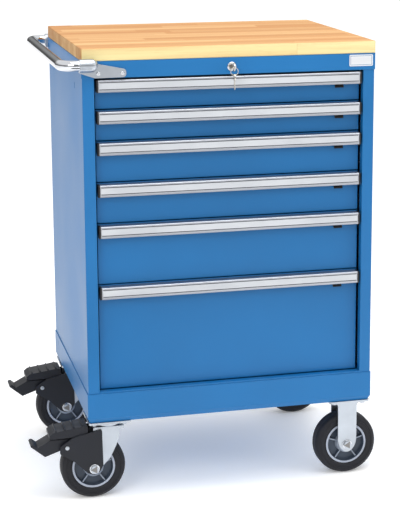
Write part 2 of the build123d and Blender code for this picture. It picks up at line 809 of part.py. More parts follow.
def frame_shift(nodes):
    """Move that puts the origin under the middle of the object's overall box."""
    boxes = [solid.bounding_box() for solids in nodes.values() for solid in solids]
    middle_x = (min(b.min.X for b in boxes) + max(b.max.X for b in boxes)) / 2
    middle_y = (min(b.min.Y for b in boxes) + max(b.max.Y for b in boxes)) / 2
    return (-middle_x, -middle_y, 0)


def main():
    nodes = all_nodes()
    shift = Pos(*frame_shift(nodes))
    for name, solids in nodes.items():
        placed = [shift * solid for solid in solids]
        shape = placed[0] if len(placed) == 1 else Compound(children=placed)
        export_step(shape, os.path.join("parts", name + ".step"))
    print(len(nodes), "nodes")


if __name__ == "__main__":
    main()
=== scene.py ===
import functools
import json
import math

import bmesh
import bpy
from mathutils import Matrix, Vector


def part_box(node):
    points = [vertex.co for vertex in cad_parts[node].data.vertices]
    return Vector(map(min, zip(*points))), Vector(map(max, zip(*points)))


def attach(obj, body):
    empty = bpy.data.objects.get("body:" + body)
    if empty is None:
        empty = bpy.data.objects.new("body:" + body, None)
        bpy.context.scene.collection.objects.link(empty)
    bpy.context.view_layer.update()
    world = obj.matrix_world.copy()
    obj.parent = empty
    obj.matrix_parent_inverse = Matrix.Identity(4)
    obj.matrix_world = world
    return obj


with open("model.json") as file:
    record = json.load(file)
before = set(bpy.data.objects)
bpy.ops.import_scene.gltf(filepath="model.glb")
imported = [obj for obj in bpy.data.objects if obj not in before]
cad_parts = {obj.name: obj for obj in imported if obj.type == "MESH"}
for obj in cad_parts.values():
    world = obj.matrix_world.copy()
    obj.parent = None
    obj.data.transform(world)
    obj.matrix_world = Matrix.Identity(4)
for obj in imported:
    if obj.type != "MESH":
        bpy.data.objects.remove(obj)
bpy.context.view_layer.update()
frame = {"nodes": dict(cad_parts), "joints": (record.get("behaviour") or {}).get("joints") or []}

bl_info = {
    "name": "Mobile drawer cabinet",
    "version": (1, 0, 0),
    "blender": (4, 5, 0),
    "location": "3D View > Sidebar > Cabinet",
    "description": "Finishes and trim for a drawer cabinet with a block top on casters",
    "category": "Object",
}

MM = 0.001
DRAWERS = range(1, 7)
SWIVEL_CORNERS = ("front_left", "rear_left")
RIGID_CORNERS = ("front_right", "rear_right")
CORNERS = SWIVEL_CORNERS + RIGID_CORNERS
SIDES = (("near", -1), ("far", 1))


# ---------------------------------------------------------------- sizes and colours
class CabinetSizes(bpy.types.PropertyGroup):
    label_thickness: bpy.props.FloatProperty(
        name="Label thickness", description="Thickness of the card strip in each pull",
        default=0.8 * MM, unit="LENGTH")
    label_margin: bpy.props.FloatProperty(
        name="Label margin", description="Bare pull left at each end of its card strip",
        default=6 * MM, unit="LENGTH")
    rivet_radius: bpy.props.FloatProperty(
        name="Rivet radius", description="Radius of the heads on the brake pedal's pin",
        default=5.2 * MM, unit="LENGTH")
    washer_radius: bpy.props.FloatProperty(
        name="Washer radius", description="Radius of the washers under the axle bolts",
        default=12.5 * MM, unit="LENGTH")
    washer_thickness: bpy.props.FloatProperty(
        name="Washer thickness", description="Thickness of the axle washers",
        default=1.4 * MM, unit="LENGTH")
    ridge_radius: bpy.props.FloatProperty(
        name="Tyre ridge radius", description="Radius of the moulded ridge on a tyre's wall",
        default=67 * MM, unit="LENGTH")
    back_rivet_radius: bpy.props.FloatProperty(
        name="Back rivet radius", description="Radius of the blind rivets in the back panel",
        default=3.4 * MM, unit="LENGTH")
    stave_width: bpy.props.FloatProperty(
        name="Stave width", description="Width of one strip of the block top",
        default=42 * MM, unit="LENGTH")
    stave_length: bpy.props.FloatProperty(
        name="Stave length", description="Length of one piece in a strip of the block top",
        default=520 * MM, unit="LENGTH")


class CabinetColours(bpy.types.PropertyGroup):
    paint: bpy.props.FloatVectorProperty(
        name="Paint", description="Powder coat of the housing and the drawers",
        default=(0.008, 0.142, 0.375), size=3, subtype="COLOR", min=0, max=1)
    pale_wood: bpy.props.FloatVectorProperty(
        name="Pale wood", description="Lightest strips of the block top",
        default=(0.90, 0.86, 0.48), size=3, subtype="COLOR", min=0, max=1)
    dark_wood: bpy.props.FloatVectorProperty(
        name="Dark wood", description="Darkest strips of the block top",
        default=(0.64, 0.47, 0.20), size=3, subtype="COLOR", min=0, max=1)
    aluminium: bpy.props.FloatVectorProperty(
        name="Aluminium", description="Anodised pulls",
        default=(0.48, 0.50, 0.54), size=3, subtype="COLOR", min=0, max=1)
    zinc: bpy.props.FloatVectorProperty(
        name="Zinc", description="Plated caster forks and plates",
        default=(0.52, 0.56, 0.61), size=3, subtype="COLOR", min=0, max=1)
    core: bpy.props.FloatVectorProperty(
        name="Wheel core", description="Moulded wheel cores",
        default=(0.045, 0.062, 0.092), size=3, subtype="COLOR", min=0, max=1)
    brake: bpy.props.FloatVectorProperty(
        name="Brake", description="Coated brake covers and pedals",
        default=(0.008, 0.0095, 0.015), size=3, subtype="COLOR", min=0, max=1)
    rubber: bpy.props.FloatVectorProperty(
        name="Rubber", description="Solid tyres",
        default=(0.010, 0.0105, 0.0145), size=3, subtype="COLOR", min=0, max=1)


def sizes():
    return bpy.context.scene.cabinet_sizes


def colours():
    return bpy.context.scene.cabinet_colours


# ---------------------------------------------------------------- places from the frame
def low_corner(node):
    return Vector(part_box(node)[0])


def high_corner(node):
    return Vector(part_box(node)[1])


def middle(node):
    return (low_corner(node) + high_corner(node)) / 2


def wheel_middle(corner):
    return middle("tyre_" + corner)


# ---------------------------------------------------------------- node building
def add_node(tree, kind, **values):
    node = tree.nodes.new(kind)
    for name, value in values.items():
        setattr(node, name, value)
    return node


def feed(tree, target, value):
    """Link an output to a socket, or set the socket to a plain value."""
    if isinstance(value, bpy.types.NodeSocket):
        tree.links.new(value, target)
    elif value is not None:
        target.default_value = value


def math_node(tree, operation, first, second=None, third=None):
    node = add_node(tree, "ShaderNodeMath", operation=operation)
    for socket, value in zip(node.inputs, (first, second, third)):
        feed(tree, socket, value)
    return node.outputs[0]


def mix_colour(tree, factor, first, second):
    node = add_node(tree, "ShaderNodeMix", data_type="RGBA")
    feed(tree, node.inputs["Factor"], factor)
    feed(tree, node.inputs["A"], rgba(first))
    feed(tree, node.inputs["B"], rgba(second))
    return node.outputs["Result"]


def rgba(colour):
    if isinstance(colour, bpy.types.NodeSocket):
        return colour
    return (*tuple(colour)[:3], 1.0)


def remap(tree, value, low, high, to_low=0.0, to_high=1.0):
    node = add_node(tree, "ShaderNodeMapRange", clamp=True)
    for name, number in (("Value", value), ("From Min", low), ("From Max", high),
                         ("To Min", to_low), ("To Max", to_high)):
        feed(tree, node.inputs[name], number)
    return node.outputs["Result"]


def noise(tree, vector, scale, detail=2.0, roughness=0.5):
    node = add_node(tree, "ShaderNodeTexNoise")
    feed(tree, node.inputs["Vector"], vector)
    feed(tree, node.inputs["Scale"], scale)
    node.inputs["Detail"].default_value = detail
    node.inputs["Roughness"].default_value = roughness
    return node.outputs["Fac"]


def stretched(tree, vector, scale):
    node = add_node(tree, "ShaderNodeMapping")
    feed(tree, node.inputs["Vector"], vector)
    node.inputs["Scale"].default_value = scale
    return node.outputs["Vector"]


def new_group(name, inputs, outputs):
    """Empty shader node group with its sockets, given as (name, type, default)."""
    group = bpy.data.node_groups.new(name, "ShaderNodeTree")
    for label, kind, default in inputs:
        socket = group.interface.new_socket(label, in_out="INPUT", socket_type=kind)
        if default is not None:
            socket.default_value = default
    for label, kind in outputs:
        group.interface.new_socket(label, in_out="OUTPUT", socket_type=kind)
    return group, add_node(group, "NodeGroupInput"), add_node(group, "NodeGroupOutput")


FLOAT = "NodeSocketFloat"
VECTOR = "NodeSocketVector"


def edge_wear_and_highlight_group():
    """Softened edges, and a broken mask along them: partly edge wear, partly a painted edge
    highlight.
    """
    group, given, put = new_group(
        "Edge wear and highlight",
        [("Radius", FLOAT, 0.001), ("Amount", FLOAT, 0.5), ("Scale", FLOAT, 60.0)],
        [("Mask", FLOAT), ("Normal", VECTOR)])
    coordinates = add_node(group, "ShaderNodeTexCoord").outputs["Object"]
    bevel = add_node(group, "ShaderNodeBevel", samples=4)
    feed(group, bevel.inputs["Radius"], given.outputs["Radius"])
    face = add_node(group, "ShaderNodeNewGeometry").outputs["Normal"]
    likeness = add_node(group, "ShaderNodeVectorMath", operation="DOT_PRODUCT")
    feed(group, likeness.inputs[0], bevel.outputs["Normal"])
    feed(group, likeness.inputs[1], face)
    edge = remap(group, likeness.outputs["Value"], 0.97, 0.80)
    patches = remap(group, noise(group, coordinates, given.outputs["Scale"], 4.0), 0.46, 0.62)
    mask = math_node(group, "MULTIPLY", math_node(group, "MULTIPLY", edge, patches),
                     given.outputs["Amount"])
    feed(group, put.inputs["Mask"], mask)
    feed(group, put.inputs["Normal"], bevel.outputs["Normal"])
    return group


def orange_peel_group():
    """Fine pebbled height of a powder coat, and its slow drift in tone."""
    group, given, put = new_group(
        "Orange peel", [("Scale", FLOAT, 420.0), ("Drift scale", FLOAT, 3.0)],
        [("Height", FLOAT), ("Drift", FLOAT)])
    coordinates = add_node(group, "ShaderNodeTexCoord").outputs["Object"]
    feed(group, put.inputs["Height"], noise(group, coordinates, given.outputs["Scale"], 1.5))
    feed(group, put.inputs["Drift"],
         noise(group, coordinates, given.outputs["Drift scale"], 3.0))
    return group


def dust_group():
    """Dust that settles on faces that look up, with scattered scuffs."""
    group, given, put = new_group(
        "Dust and scuffs", [("Dust", FLOAT, 0.3), ("Scuffs", FLOAT, 0.3)],
        [("Dust", FLOAT), ("Scuffs", FLOAT)])
    coordinates = add_node(group, "ShaderNodeTexCoord").outputs["Object"]
    face = add_node(group, "ShaderNodeNewGeometry").outputs["Normal"]
    split = add_node(group, "ShaderNodeSeparateXYZ")
    feed(group, split.inputs[0], face)
    upward = remap(group, split.outputs["Z"], 0.2, 1.0)
    grains = remap(group, noise(group, coordinates, 45.0, 6.0), 0.45, 0.75)
    feed(group, put.inputs["Dust"],
         math_node(group, "MULTIPLY", math_node(group, "MULTIPLY", upward, grains),
                   given.outputs["Dust"]))
    streaks = noise(group, stretched(group, coordinates, (9.0, 14.0, 60.0)), 1.6, 5.0, 0.7)
    feed(group, put.inputs["Scuffs"],
         math_node(group, "MULTIPLY", remap(group, streaks, 0.66, 0.74),
                   given.outputs["Scuffs"]))
    return group


def brushed_group():
    """Fine lines drawn along X, and slow blotches."""
    group, given, put = new_group(
        "Drawn lines", [("Fineness", FLOAT, 1.0)], [("Lines", FLOAT), ("Blotches", FLOAT)])
    coordinates = add_node(group, "ShaderNodeTexCoord").outputs["Object"]
    lines = noise(group, stretched(group, coordinates, (4.0, 900.0, 900.0)),
                  given.outputs["Fineness"], 4.0, 0.65)
    feed(group, put.inputs["Lines"], lines)
    feed(group, put.inputs["Blotches"], noise(group, coordinates, 14.0, 4.0))
    return group


def stave_group():
    """Strips glued side by side: a tone for each piece, the glue lines and the grain."""
    group, given, put = new_group(
        "Block staves", [("Width", FLOAT, 0.04), ("Length", FLOAT, 0.5)],
        [("Tone", FLOAT), ("Joint", FLOAT), ("Grain", FLOAT), ("Pores", FLOAT)])
    coordinates = add_node(group, "ShaderNodeTexCoord").outputs["Object"]
    split = add_node(group, "ShaderNodeSeparateXYZ")
    feed(group, split.inputs[0], coordinates)
    across = math_node(group, "DIVIDE", split.outputs["Y"], given.outputs["Width"])
    row = math_node(group, "FLOOR", across)
    row_noise = add_node(group, "ShaderNodeTexWhiteNoise", noise_dimensions="1D")
    feed(group, row_noise.inputs["W"], row)
    start = math_node(group, "ADD", math_node(group, "DIVIDE", split.outputs["X"],
                                              given.outputs["Length"]),
                      math_node(group, "MULTIPLY", row_noise.outputs["Value"], 7.0))
    piece = math_node(group, "FLOOR", start)
    pair = add_node(group, "ShaderNodeCombineXYZ")
    feed(group, pair.inputs["X"], row)
    feed(group, pair.inputs["Y"], piece)
    tone = add_node(group, "ShaderNodeTexWhiteNoise", noise_dimensions="2D")
    feed(group, tone.inputs["Vector"], pair.outputs[0])
    feed(group, put.inputs["Tone"], tone.outputs["Value"])
    seam_y = math_node(group, "PINGPONG", across, 0.5)
    seam_x = math_node(group, "PINGPONG", start, 0.5)
    line_y = remap(group, seam_y, 0.0, 0.012, 1.0, 0.0)
    line_x = remap(group, seam_x, 0.0, 0.0011, 1.0, 0.0)
    feed(group, put.inputs["Joint"], math_node(group, "MAXIMUM", line_y, line_x))
    shifted = add_node(group, "ShaderNodeVectorMath", operation="ADD")
    feed(group, shifted.inputs[0], stretched(group, coordinates, (2.2, 55.0, 55.0)))
    jump = add_node(group, "ShaderNodeVectorMath", operation="SCALE")
    feed(group, jump.inputs[0], tone.outputs["Color"])
    jump.inputs["Scale"].default_value = 40.0
    feed(group, shifted.inputs[1], jump.outputs["Vector"])
    feed(group, put.inputs["Grain"], noise(group, shifted.outputs["Vector"], 1.0, 5.0, 0.6))
    feed(group, put.inputs["Pores"],
         noise(group, stretched(group, coordinates, (26.0, 800.0, 800.0)), 1.0, 2.0, 0.5))
    return group


GROUP_MAKERS = {
    "Edge wear and highlight": edge_wear_and_highlight_group,
    "Orange peel": orange_peel_group,
    "Dust and scuffs": dust_group,
    "Drawn lines": brushed_group,
    "Block staves": stave_group,
}


def use_group(tree, name, **values):
    """Place a shared group in a material, with this material's own values."""
    group = bpy.data.node_groups.get(name) or GROUP_MAKERS[name]()
    node = add_node(tree, "ShaderNodeGroup", node_tree=group)
    for label, value in values.items():
        feed(tree, node.inputs[label.replace("_", " ").capitalize()], value)
    return node.outputs


def new_material(name, roughness=0.5, metallic=0.0):
    """Material with a Principled shader, given as (material, tree, shader)."""
    material = bpy.data.materials.new(name)
    material.use_nodes = True
    shader = material.node_tree.nodes["Principled BSDF"]
    shader.inputs["Roughness"].default_value = roughness
    shader.inputs["Metallic"].default_value = metallic
    return material, material.node_tree, shader


def bumped(tree, shader, height, distance, normal=None, strength=1.0):
    bump = add_node(tree, "ShaderNodeBump")
    bump.inputs["Strength"].default_value = strength
    bump.inputs["Distance"].default_value = distance
    feed(tree, bump.inputs["Height"], height)
    if normal is not None:
        feed(tree, bump.inputs["Normal"], normal)
    feed(tree, shader.inputs["Normal"], bump.outputs["Normal"])


# ---------------------------------------------------------------- finishes
def scaled(colour, factor):
    return tuple(channel * factor for channel in colour)


def blue_paint():
    material, tree, shader = new_material("blue powder coat")
    peel = use_group(tree, "Orange peel")
    wear_and_highlight = use_group(tree, "Edge wear and highlight", radius=1.2 * MM, amount=0.35)
    dust = use_group(tree, "Dust and scuffs", dust=0.045, scuffs=0.08)
    blue = colours().paint
    tone = mix_colour(tree, remap(tree, peel["Drift"], 0.3, 0.7), scaled(blue, 0.93),
                      scaled(blue, 1.06))
    # Lighter blue along the edges: partly wear, partly a painted highlight.
    worn_and_highlit = mix_colour(tree, wear_and_highlight["Mask"], tone, (0.16, 0.38, 0.66))
    dusty = mix_colour(tree, dust["Dust"], worn_and_highlit, (0.45, 0.50, 0.56))
    feed(tree, shader.inputs["Base Color"],
         mix_colour(tree, dust["Scuffs"], dusty, (0.10, 0.28, 0.55)))
    feed(tree, shader.inputs["Roughness"],
         math_node(tree, "ADD", remap(tree, peel["Drift"], 0.3, 0.7, 0.34, 0.42),
                   math_node(tree, "MULTIPLY", dust["Scuffs"], 0.2)))
    shader.inputs["Specular IOR Level"].default_value = 0.34
    bumped(tree, shader, peel["Height"], 0.06 * MM, wear_and_highlight["Normal"], 0.5)
    return material


def block_wood():
    material, tree, shader = new_material("lacquered block top")
    given = sizes()
    wood = use_group(tree, "Block staves", width=given.stave_width, length=given.stave_length)
    wear_and_highlight = use_group(tree, "Edge wear and highlight", radius=1.5 * MM, amount=0.5)
    shades = mix_colour(tree, wood["Tone"], colours().pale_wood, colours().dark_wood)
    figure = remap(tree, wood["Grain"], 0.36, 0.66)
    grained = mix_colour(tree, math_node(tree, "MULTIPLY", figure, 0.42), shades,
                         (0.62, 0.31, 0.11))
    pored = mix_colour(tree, remap(tree, wood["Pores"], 0.62, 0.78, 0.0, 0.30), grained,
                       (0.42, 0.20, 0.08))
    jointed = mix_colour(tree, math_node(tree, "MULTIPLY", wood["Joint"], 0.55), pored,
                         (0.36, 0.17, 0.07))
    # Faces that look up are multiplied darker and warmer than the sides.
    facing = add_node(tree, "ShaderNodeSeparateXYZ")
    feed(tree, facing.inputs[0], add_node(tree, "ShaderNodeTexCoord").outputs["Normal"])
    upward = remap(tree, facing.outputs["Z"], 0.3, 0.9)
    darker_where_facing_up = add_node(tree, "ShaderNodeMix", data_type="RGBA", blend_type="MULTIPLY")
    feed(tree, darker_where_facing_up.inputs["Factor"], upward)
    feed(tree, darker_where_facing_up.inputs["A"], jointed)
    feed(tree, darker_where_facing_up.inputs["B"], (0.78, 0.53, 0.43, 1.0))
    end_grain = remap(tree, math_node(tree, "ABSOLUTE", facing.outputs["X"]), 0.3, 0.9)
    ended = add_node(tree, "ShaderNodeMix", data_type="RGBA", blend_type="MULTIPLY")
    feed(tree, ended.inputs["Factor"], end_grain)
    feed(tree, ended.inputs["A"], darker_where_facing_up.outputs["Result"])
    feed(tree, ended.inputs["B"], (0.80, 0.58, 0.48, 1.0))
    # Paler wood along the edges: partly wear, partly a painted highlight.
    feed(tree, shader.inputs["Base Color"],
         mix_colour(tree, wear_and_highlight["Mask"], ended.outputs["Result"], (0.86, 0.62, 0.34)))
    feed(tree, shader.inputs["Roughness"], remap(tree, wood["Grain"], 0.3, 0.7, 0.46, 0.60))
    shader.inputs["Specular IOR Level"].default_value = 0.22
    height = math_node(tree, "SUBTRACT", math_node(tree, "MULTIPLY", wood["Pores"], 0.4),
                       wood["Joint"])
    bumped(tree, shader, height, 0.10 * MM, wear_and_highlight["Normal"], 0.6)
    return material


USUAL_LINES = 0.15


def metal(name, colour, roughness, lines=USUAL_LINES, blotches=0.10, radius=0.8 * MM):
    """Bare or plated metal: drawn lines, blotches, and softened edges painted brighter, partly
    wear, partly a painted highlight.
    """
    material, tree, shader = new_material(name, roughness, 1.0)
    drawn = use_group(tree, "Drawn lines")
    wear_and_highlight = use_group(tree, "Edge wear and highlight", radius=radius, amount=0.6)
    blotch = remap(tree, drawn["Blotches"], 0.35, 0.68)
    base = mix_colour(tree, blotch, scaled(colour, 1.0 - blotches), colour)
    # Brighter metal along the edges: partly wear, partly a painted highlight.
    feed(tree, shader.inputs["Base Color"],
         mix_colour(tree, wear_and_highlight["Mask"], base, scaled(colour, 1.12)))
    feed(tree, shader.inputs["Roughness"],
         math_node(tree, "ADD", remap(tree, drawn["Lines"], 0.3, 0.7, roughness - lines / 2,
                                      roughness + lines / 2),
                   math_node(tree, "MULTIPLY", blotch, blotches * 0.4)))
    bumped(tree, shader, drawn["Lines"], 0.02 * MM * lines / USUAL_LINES, wear_and_highlight["Normal"], 0.5)
    return material


def galvanised():
    """Sheet steel with the flat crystals of hot zinc."""
    material, tree, shader = new_material("galvanised slide", 0.35, 1.0)
    coordinates = add_node(tree, "ShaderNodeTexCoord").outputs["Object"]
    crystals = add_node(tree, "ShaderNodeTexVoronoi")
    feed(tree, crystals.inputs["Vector"], coordinates)
    crystals.inputs["Scale"].default_value = 90.0
    grey = add_node(tree, "ShaderNodeRGBToBW")
    feed(tree, grey.inputs[0], crystals.outputs["Color"])
    tone = remap(tree, grey.outputs[0], 0.1, 0.9)
    feed(tree, shader.inputs["Base Color"],
         mix_colour(tree, tone, (0.50, 0.52, 0.54), (0.68, 0.69, 0.70)))
    feed(tree, shader.inputs["Roughness"], remap(tree, tone, 0.0, 1.0, 0.28, 0.46))
    return material


def coated(name, colour, roughness, grain_scale=900.0, dust=0.25, depth=0.08 * MM):
    """Black or grey coating or moulding with a fine grain, dust, and pale edges that are partly
    wear, partly a painted highlight.
    """
    material, tree, shader = new_material(name, roughness)
    peel = use_group(tree, "Orange peel", scale=grain_scale, drift_scale=9.0)
    wear_and_highlight = use_group(tree, "Edge wear and highlight", radius=1.0 * MM, amount=0.55)
    grime = use_group(tree, "Dust and scuffs", dust=dust, scuffs=dust)
    tone = mix_colour(tree, remap(tree, peel["Drift"], 0.3, 0.7), scaled(colour, 0.82),
                      scaled(colour, 1.18))
    # Paler coat along the edges: partly wear, partly a painted highlight.
    worn_and_highlit = mix_colour(tree, wear_and_highlight["Mask"], tone, tuple(c * 1.8 + 0.02 for c in colour))
    scuffed = mix_colour(tree, grime["Scuffs"], worn_and_highlit, tuple(c + 0.05 for c in colour))
    feed(tree, shader.inputs["Base Color"],
         mix_colour(tree, grime["Dust"], scuffed, tuple(c + 0.10 for c in colour)))
    shader.inputs["Specular IOR Level"].default_value = 0.35
    feed(tree, shader.inputs["Roughness"],
         remap(tree, peel["Drift"], 0.3, 0.7, roughness - 0.06, roughness + 0.08))
    bumped(tree, shader, peel["Height"], depth, wear_and_highlight["Normal"], 0.6)
    return material


def tyre_rubber():
    """Solid rubber with a fine grain, scuffs, and dust on what looks up."""
    material, tree, shader = new_material("tyre rubber", 0.62)
    peel = use_group(tree, "Orange peel", scale=700.0, drift_scale=16.0)
    grime = use_group(tree, "Dust and scuffs", dust=0.35, scuffs=0.5)
    wear_and_highlight = use_group(tree, "Edge wear and highlight", radius=1.5 * MM, amount=0.3)
    rubber = colours().rubber
    tone = mix_colour(tree, remap(tree, peel["Drift"], 0.3, 0.7), scaled(rubber, 0.8),
                      scaled(rubber, 1.35))
    scuffed = mix_colour(tree, grime["Scuffs"], tone, (0.035, 0.036, 0.040))
    feed(tree, shader.inputs["Base Color"],
         mix_colour(tree, grime["Dust"], scuffed, (0.10, 0.10, 0.105)))
    feed(tree, shader.inputs["Roughness"], remap(tree, peel["Drift"], 0.3, 0.7, 0.50, 0.70))
    shader.inputs["Specular IOR Level"].default_value = 0.3
    bumped(tree, shader, peel["Height"], 0.12 * MM, wear_and_highlight["Normal"], 0.6)
    return material


def name_plate():
    """Blank satin plate with a plain printed border."""
    material, tree, shader = new_material("blank name plate", 0.35, 0.6)
    drawn = use_group(tree, "Drawn lines", fineness=1.4)
    coordinates = add_node(tree, "ShaderNodeTexCoord").outputs["Object"]
    split = add_node(tree, "ShaderNodeSeparateXYZ")
    feed(tree, split.inputs[0], coordinates)
    centre = middle("badge_plate")
    half = (high_corner("badge_plate") - low_corner("badge_plate")) / 2
    border = 3.2 * MM
    line = 0.8 * MM

    def from_edge(axis, place, reach):
        offset = math_node(tree, "ABSOLUTE",
                           math_node(tree, "SUBTRACT", split.outputs[axis], place))
        return math_node(tree, "SUBTRACT", reach, offset)

    inset = math_node(tree, "MINIMUM", from_edge("X", centre.x, half.x),
                      from_edge("Z", centre.z, half.z))
    ring = math_node(tree, "COMPARE", inset, border, line / 2)
    silver = mix_colour(tree, remap(tree, drawn["Lines"], 0.3, 0.7), (0.70, 0.72, 0.75),
                        (0.84, 0.85, 0.87))
    feed(tree, shader.inputs["Base Color"], mix_colour(tree, ring, silver, colours().paint))
    feed(tree, shader.inputs["Roughness"], remap(tree, drawn["Lines"], 0.3, 0.7, 0.30, 0.42))
    return material


def label_card():
    """Card strip behind a clear cover."""
    material, tree, shader = new_material("label card", 0.4)
    peel = use_group(tree, "Orange peel", scale=260.0, drift_scale=5.0)
    feed(tree, shader.inputs["Base Color"],
         mix_colour(tree, remap(tree, peel["Drift"], 0.35, 0.65), (0.47, 0.49, 0.52),
                    (0.55, 0.57, 0.60)))
    feed(tree, shader.inputs["Roughness"], remap(tree, peel["Height"], 0.3, 0.7, 0.30, 0.42))
    shader.inputs["Coat Weight"].default_value = 0.4
    shader.inputs["Coat Roughness"].default_value = 0.15
    return material


FINISHES = {}


def finish(name):
    return FINISHES[name]


# ---------------------------------------------------------------- dressing the CAD nodes
def node_object(node):
    return frame["nodes"][node]


def dress(node, *names):
    """Give a node its finishes, as material slots in this order."""
    data = node_object(node).data
    data.materials.clear()
    for name in names:
        data.materials.append(finish(name))


def split_faces(node, chooser):
    """Set each face's slot from its middle and its normal."""
    for polygon in node_object(node).data.polygons:
        polygon.material_index = chooser(polygon.center, polygon.normal)


# ---------------------------------------------------------------- modelling helpers
def clear_selection():
    if bpy.context.object and bpy.context.object.mode != "OBJECT":
        bpy.ops.object.mode_set(mode="OBJECT")
    bpy.ops.object.select_all(action="DESELECT")


def name_active(name):
    piece = bpy.context.object
    piece.name = name
    piece.data.name = name
    bpy.ops.object.transform_apply(location=True, rotation=True, scale=True)
    return piece


def start_box(name, low, high):
    """Box between two corners, its place in its mesh."""
    clear_selection()
    low, high = Vector(low), Vector(high)
    bpy.ops.mesh.primitive_cube_add(size=1, location=(low + high) / 2, scale=high - low)
    return name_active(name)


def start_disc(name, centre, radius, depth, vertices=32):
    """Disc standing on edge, its axis along Y."""
    clear_selection()
    bpy.ops.mesh.primitive_cylinder_add(vertices=vertices, radius=radius, depth=depth,
                                        location=centre, rotation=(math.pi / 2, 0, 0))
    return name_active(name)


def pick_faces(piece, chooser):
    """Enter edit mode with only the faces picked by middle and normal selected."""
    bpy.ops.object.mode_set(mode="EDIT")
    bpy.ops.mesh.select_mode(type="FACE")
    bpy.ops.mesh.select_all(action="DESELECT")
    shape = bmesh.from_edit_mesh(piece.data)
    for face in shape.faces:
        face.select = chooser(face.calc_center_median(), face.normal)
    shape.select_flush_mode()
    bmesh.update_edit_mesh(piece.data)


def leave_edit():
    bpy.ops.object.mode_set(mode="OBJECT")


def soften(piece, width, segments=2, degrees=30):
    """Bevel a piece's sharp edges with a modifier, apply it and shade by angle."""
    clear_selection()
    piece.select_set(True)
    bpy.context.view_layer.objects.active = piece
    bevel = piece.modifiers.new("soft edges", "BEVEL")
    bevel.width = width
    bevel.segments = segments
    bevel.limit_method = "ANGLE"
    bevel.angle_limit = math.radians(degrees)
    bpy.ops.object.modifier_apply(modifier=bevel.name)
    bpy.ops.object.shade_smooth_by_angle(angle=math.radians(degrees))


def copy_piece(piece, name, move):
    """Copy of a piece with its own mesh, moved in that mesh."""
    clear_selection()
    piece.select_set(True)
    bpy.context.view_layer.objects.active = piece
    bpy.ops.object.duplicate(linked=False)
    bpy.context.object.location = Vector(move)
    return name_active(name)


def repeated(spots, model):
    """Model the piece at the first spot and copy it to the others.

    A spot is (name, place, body), and model(name, place) returns the first piece.
    The pieces come back with their bodies.
    """
    name, start, body = spots[0]
    first = model(name, start)
    pieces = [(first, body)]
    for name, place, body in spots[1:]:
        pieces.append((copy_piece(first, name, place - start), body))
    return pieces


def finish_piece(piece, material, body):
    piece.data.materials.clear()
    piece.data.materials.append(finish(material))
    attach(piece, body)


# ---------------------------------------------------------------- operators
class CabinetStep:
    """What every step of the cabinet shares."""
    bl_options = {"REGISTER", "UNDO"}


